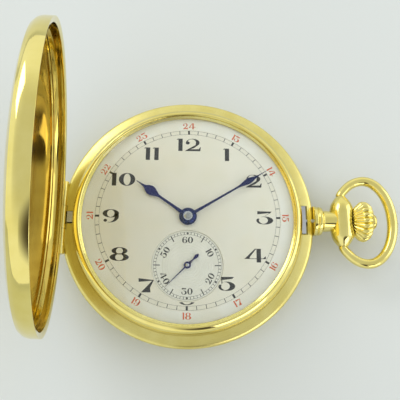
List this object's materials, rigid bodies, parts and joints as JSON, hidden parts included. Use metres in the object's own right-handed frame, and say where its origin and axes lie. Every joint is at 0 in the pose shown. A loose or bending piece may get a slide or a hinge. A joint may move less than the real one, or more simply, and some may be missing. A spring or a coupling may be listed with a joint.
{
  "type": "hunter pocket watch",
  "caption": "Gold hunter pocket watch lying on its back with its hinged front cover open, small seconds, stem winding crown and bow.",
  "frame": {"origin": "centre of the flat in the middle of the back cover", "axes": "+X towards the crown, +Y towards twelve o'clock, +Z out of the dial"},
  "size_m": [0.0711, 0.051, 0.0563],
  "materials": {
    "polished_gold": "polished",
    "satin_gold": "satin",
    "silvered_dial": "satin",
    "blued_steel": "polished",
    "polished_steel": "polished",
    "gilt_brass": "satin",
    "nickel_plate": "satin",
    "mineral_crystal": "polished"
  },
  "bodies": {
    "case": {"back_hinge_pin": "polished_steel", "balance_cock": "nickel_plate", "balance_cock_screw_1": "polished_steel", "barrel_bridge": "nickel_plate", "barrel_bridge_screw_1": "polished_steel", "barrel_bridge_screw_2": "polished_steel", "barrel_bridge_screw_3": "polished_steel", "bezel": "polished_gold", "case_band": "satin_gold", "click": "polished_steel", "crystal": "mineral_crystal", "cuvette_hinge_pin": "polished_steel", "dial": "silvered_dial", "front_hinge_pin": "polished_steel", "hairspring": "polished_steel", "lift_spring": "polished_steel", "mainplate": "nickel_plate", "pendant": "polished_gold", "pendant_sleeve": "polished_steel", "regulator": "polished_steel", "seconds_dial": "silvered_dial", "setting_lever": "polished_steel", "setting_wheel": "polished_steel", "train_bridge": "nickel_plate", "train_bridge_screw_1": "polished_steel", "train_bridge_screw_2": "polished_steel", "yoke": "polished_steel"},
    "front_cover_body": {"front_cover": "polished_gold"},
    "back_cover_body": {"back_cover": "polished_gold"},
    "cuvette_body": {"cuvette": "polished_gold"},
    "bow_body": {"bow": "polished_gold"},
    "stem_turn_body": {"winding_pinion": "polished_steel", "castle_wheel": "polished_steel"},
    "crown_body": {"crown": "polished_gold", "winding_stem": "polished_steel"},
    "lock_spring_body": {"lock_spring": "polished_steel"},
    "crown_wheel_body": {"crown_wheel": "polished_steel"},
    "ratchet_body": {"ratchet_wheel": "polished_steel", "barrel_arbor": "polished_steel"},
    "minute_body": {"centre_wheel": "gilt_brass", "cannon_pinion": "polished_steel", "minute_hand": "blued_steel"},
    "hour_body": {"hour_wheel": "gilt_brass", "hour_hand": "blued_steel"},
    "minute_wheel_body": {"minute_wheel": "gilt_brass"},
    "third_body": {"third_wheel": "gilt_brass"},
    "seconds_body": {"fourth_wheel": "gilt_brass", "seconds_hand": "blued_steel"},
    "escape_body": {"escape_wheel": "gilt_brass"},
    "barrel_body": {"mainspring_barrel": "gilt_brass", "barrel_cover": "gilt_brass", "mainspring": "polished_steel"},
    "pallet_body": {"pallet_fork": "polished_steel"},
    "balance_body": {"balance_wheel": "gilt_brass", "balance_staff": "polished_steel"}
  },
  "joints": [
    {"name": "front_cover_hinge", "type": "hinge", "parent": "case", "child": "front_cover_body", "pos_m": [-0.025, 0, 0.00635], "axis": [0, 1, 0], "range_deg": [-6, 83]},
    {"name": "back_cover_hinge", "type": "hinge", "parent": "case", "child": "back_cover_body", "pos_m": [-0.025, 0, 0.00445], "axis": [0, 1, 0], "range_deg": [0, 95]},
    {"name": "cuvette_hinge", "type": "hinge", "parent": "case", "child": "cuvette_body", "pos_m": [-0.0233, 0, 0.00235], "axis": [0, 1, 0], "range_deg": [0, 76]},
    {"name": "bow_hinge", "type": "hinge", "parent": "case", "child": "bow_body", "pos_m": [0.0312, 0, 0.0058], "axis": [0, 1, 0], "range_deg": [-70, 70]},
    {"name": "crown_turn", "type": "hinge", "parent": "case", "child": "stem_turn_body", "pos_m": [0.0153, 0, 0.0058], "axis": [1, 0, 0], "continuous": true},
    {"name": "crown_slide", "type": "slide", "parent": "stem_turn_body", "child": "crown_body", "axis": [1, 0, 0], "range_m": [-0.0003, 0.0009]},
    {"name": "lock_spring_press", "type": "slide", "parent": "case", "child": "lock_spring_body", "axis": [1, 0, 0], "range_m": [-0.00006, 0.00018]},
    {"name": "crown_wheel_turn", "type": "hinge", "parent": "case", "child": "crown_wheel_body", "pos_m": [0.0124, 0, 0.0021], "axis": [0, 0, 1], "continuous": true},
    {"name": "ratchet_turn", "type": "hinge", "parent": "case", "child": "ratchet_body", "pos_m": [0.00447, 0.00639, 0.0021], "axis": [0, 0, 1], "continuous": true},
    {"name": "minute_hand_turn", "type": "hinge", "parent": "case", "child": "minute_body", "pos_m": [0, 0, 0.0088], "axis": [0, 0, 1], "continuous": true},
    {"name": "hour_hand_turn", "type": "hinge", "parent": "case", "child": "hour_body", "pos_m": [0, 0, 0.0085], "axis": [0, 0, 1], "continuous": true},
    {"name": "minute_wheel_turn", "type": "hinge", "parent": "case", "child": "minute_wheel_body", "pos_m": [0.0045, 0, 0.0067], "axis": [0, 0, 1], "continuous": true},
    {"name": "third_wheel_turn", "type": "hinge", "parent": "case", "child": "third_body", "pos_m": [-0.0047, -0.00558, 0.0045], "axis": [0, 0, 1], "continuous": true},
    {"name": "seconds_hand_turn", "type": "hinge", "parent": "case", "child": "seconds_body", "pos_m": [0, -0.0097, 0.0082], "axis": [0, 0, 1], "continuous": true},
    {"name": "escape_wheel_turn", "type": "hinge", "parent": "case", "child": "escape_body", "pos_m": [0.0045, -0.01286, 0.0045], "axis": [0, 0, 1], "continuous": true},
    {"name": "barrel_turn", "type": "hinge", "parent": "case", "child": "barrel_body", "pos_m": [0.00447, 0.00639, 0.0045], "axis": [0, 0, 1], "continuous": true},
    {"name": "pallet_swing", "type": "hinge", "parent": "case", "child": "pallet_body", "pos_m": [0.00729, -0.01091, 0.0045], "axis": [0, 0, 1], "range_deg": [-5, 5]},
    {"name": "balance_swing", "type": "hinge", "parent": "case", "child": "balance_body", "pos_m": [0.0106, -0.0086, 0.0045], "axis": [0, 0, 1], "range_deg": [-150, 150]}
  ],
  "couplings": [
    {"joint": "cuvette_hinge", "follows": "back_cover_hinge", "ratio": 0.8},
    {"joint": "lock_spring_press", "follows": "crown_slide", "ratio": 0.2},
    {"joint": "crown_wheel_turn", "follows": "crown_turn", "ratio": -0.46154},
    {"joint": "ratchet_turn", "follows": "crown_turn", "ratio": 0.2},
    {"joint": "hour_hand_turn", "follows": "minute_hand_turn", "ratio": 0.083333},
    {"joint": "minute_wheel_turn", "follows": "minute_hand_turn", "ratio": -0.33333},
    {"joint": "barrel_turn", "follows": "minute_hand_turn", "ratio": -0.125},
    {"joint": "third_wheel_turn", "follows": "minute_hand_turn", "ratio": -8},
    {"joint": "seconds_hand_turn", "follows": "minute_hand_turn", "ratio": 60}
  ]
}
